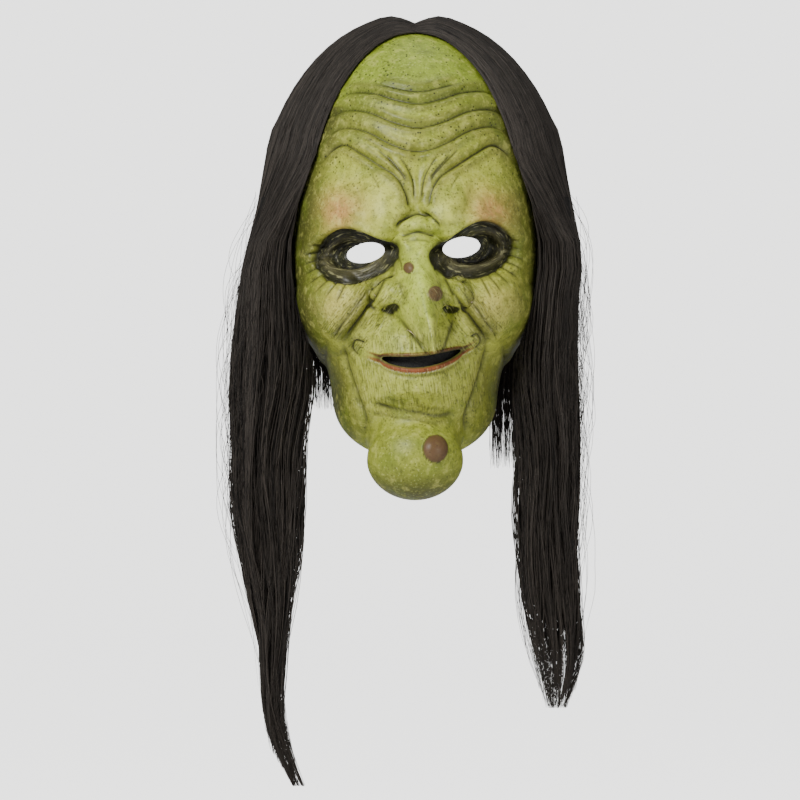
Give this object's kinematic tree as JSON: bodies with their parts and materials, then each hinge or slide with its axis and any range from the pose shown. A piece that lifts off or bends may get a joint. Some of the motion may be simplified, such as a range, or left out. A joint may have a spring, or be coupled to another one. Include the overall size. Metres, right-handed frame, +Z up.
{
  "type": "latex halloween mask",
  "caption": "Moulded latex witch mask over the front of the head, with hooked nose and ball chin, long hair glued on from a centre parting, and an adjustable elastic head strap.",
  "frame": {"origin": "middle of the wearer's head, level with the middle of the eye holes and a little behind the line through the side rivets", "axes": "+Z up along the worn mask, +Y towards the back of the wearer's head, so the face looks along -Y, +X to the right of someone looking at the face"},
  "size_m": [0.232, 0.2378, 0.5151],
  "materials": {
    "latex": "satin",
    "hair": "satin",
    "weft_fabric": "matte",
    "elastic": "matte",
    "black_plastic": "satin",
    "nickel_plate": "satin"
  },
  "bodies": {
    "mask": {"face_shell": "latex", "parting_base": "weft_fabric", "weft_front_left": "weft_fabric", "weft_front_right": "weft_fabric", "weft_rear_left": "weft_fabric", "weft_rear_right": "weft_fabric", "hair_left_side": "hair", "hair_right_side": "hair", "patch_left": "weft_fabric", "patch_right": "weft_fabric", "rivet_left": "nickel_plate", "rivet_right": "nickel_plate", "washer_left": "nickel_plate", "washer_right": "nickel_plate"},
    "left_hank_upper": {"hair_left_upper": "hair"},
    "left_hank_lower": {"hair_left_lower": "hair"},
    "right_hank_upper": {"hair_right_upper": "hair"},
    "right_hank_lower": {"hair_right_lower": "hair"},
    "strap": {"elastic_strap": "elastic", "ring_tab": "elastic", "strap_ring": "nickel_plate"},
    "slider": {"strap_slider": "black_plastic"}
  },
  "joints": [
    {"name": "left_hank_swing", "type": "hinge", "parent": "mask", "child": "left_hank_upper", "pos_m": [-0.0985, -0.022, 0.028], "axis": [0, 1, 0], "range_deg": [0, 35]},
    {"name": "left_hank_sway", "type": "hinge", "parent": "left_hank_upper", "child": "left_hank_lower", "pos_m": [-0.098, -0.022, -0.118], "axis": [1, 0, 0], "range_deg": [-30, 30]},
    {"name": "right_hank_swing", "type": "hinge", "parent": "mask", "child": "right_hank_upper", "pos_m": [0.0985, -0.022, 0.028], "axis": [0, -1, 0], "range_deg": [0, 35]},
    {"name": "right_hank_sway", "type": "hinge", "parent": "right_hank_upper", "child": "right_hank_lower", "pos_m": [0.087, -0.022, -0.118], "axis": [1, 0, 0], "range_deg": [-30, 30]},
    {"name": "strap_swing", "type": "hinge", "parent": "mask", "child": "strap", "pos_m": [0, -0.018, 0.016], "axis": [1, 0, 0], "range_deg": [-52, 4]},
    {"name": "slider_slide", "type": "slide", "parent": "strap", "child": "slider", "axis": [0, 0.9945, 0.1045], "range_m": [-0.012, 0.015]}
  ]
}
